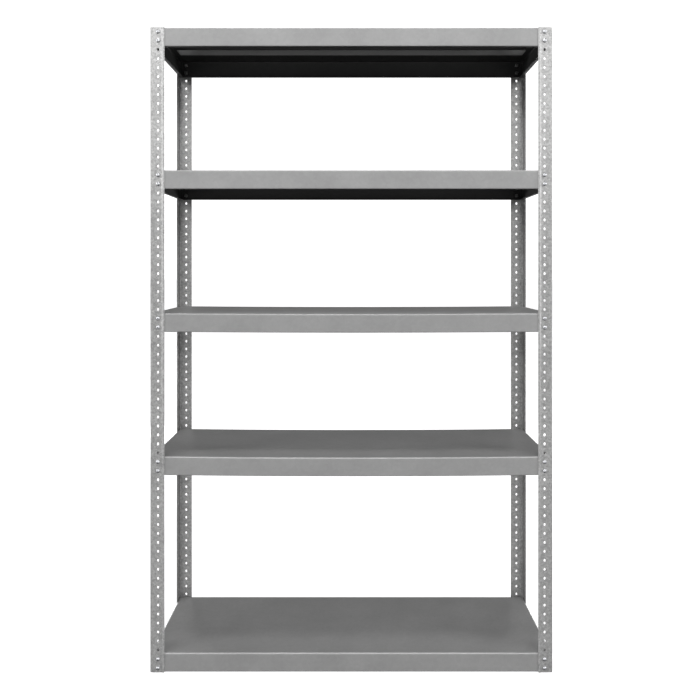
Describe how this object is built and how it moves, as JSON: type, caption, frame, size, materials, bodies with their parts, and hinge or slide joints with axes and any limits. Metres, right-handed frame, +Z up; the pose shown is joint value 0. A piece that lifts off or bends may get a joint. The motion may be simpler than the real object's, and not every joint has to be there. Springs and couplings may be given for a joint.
{
  "type": "perforated angle shelving unit",
  "caption": "Free-standing steel shelving unit: perforated angle posts with pan shelves bolted between them at set heights.",
  "frame": {"origin": "on the floor under the middle of the unit", "axes": "+Z up, +X to the right seen from the front, +Y to the back; the front faces -Y"},
  "size_m": [1.143, 0.3868, 1.8288],
  "materials": {
    "posts": "galvanised, matt with a fine spangle",
    "shelves": "galvanised sheet, dull satin",
    "stiffeners": "galvanised sheet, dull satin",
    "bolts": "bright zinc plated"
  },
  "bodies": {
    "root": {"post_front_left": "posts", "post_front_right": "posts", "post_rear_left": "posts", "post_rear_right": "posts", "shelf_1": "shelves", "shelf_2": "shelves", "shelf_3": "shelves", "shelf_4": "shelves", "shelf_5": "shelves", "stiffener_1": "stiffeners", "stiffener_2": "stiffeners", "stiffener_3": "stiffeners", "stiffener_4": "stiffeners", "stiffener_5": "stiffeners", "bolt_shelf_1_front_left_upper": "bolts", "bolt_shelf_1_front_left_lower": "bolts", "bolt_shelf_1_front_right_upper": "bolts", "bolt_shelf_1_front_right_lower": "bolts", "bolt_shelf_1_rear_left_upper": "bolts", "bolt_shelf_1_rear_left_lower": "bolts", "bolt_shelf_1_rear_right_upper": "bolts", "bolt_shelf_1_rear_right_lower": "bolts", "bolt_shelf_2_front_left_upper": "bolts", "bolt_shelf_2_front_left_lower": "bolts", "bolt_shelf_2_front_right_upper": "bolts", "bolt_shelf_2_front_right_lower": "bolts", "bolt_shelf_2_rear_left_upper": "bolts", "bolt_shelf_2_rear_left_lower": "bolts", "bolt_shelf_2_rear_right_upper": "bolts", "bolt_shelf_2_rear_right_lower": "bolts", "bolt_shelf_3_front_left_upper": "bolts", "bolt_shelf_3_front_left_lower": "bolts", "bolt_shelf_3_front_right_upper": "bolts", "bolt_shelf_3_front_right_lower": "bolts", "bolt_shelf_3_rear_left_upper": "bolts", "bolt_shelf_3_rear_left_lower": "bolts", "bolt_shelf_3_rear_right_upper": "bolts", "bolt_shelf_3_rear_right_lower": "bolts", "bolt_shelf_4_front_left_upper": "bolts", "bolt_shelf_4_front_left_lower": "bolts", "bolt_shelf_4_front_right_upper": "bolts", "bolt_shelf_4_front_right_lower": "bolts", "bolt_shelf_4_rear_left_upper": "bolts", "bolt_shelf_4_rear_left_lower": "bolts", "bolt_shelf_4_rear_right_upper": "bolts", "bolt_shelf_4_rear_right_lower": "bolts", "bolt_shelf_5_front_left_upper": "bolts", "bolt_shelf_5_front_left_lower": "bolts", "bolt_shelf_5_front_right_upper": "bolts", "bolt_shelf_5_front_right_lower": "bolts", "bolt_shelf_5_rear_left_upper": "bolts", "bolt_shelf_5_rear_left_lower": "bolts", "bolt_shelf_5_rear_right_upper": "bolts", "bolt_shelf_5_rear_right_lower": "bolts"}
  },
  "joints": []
}
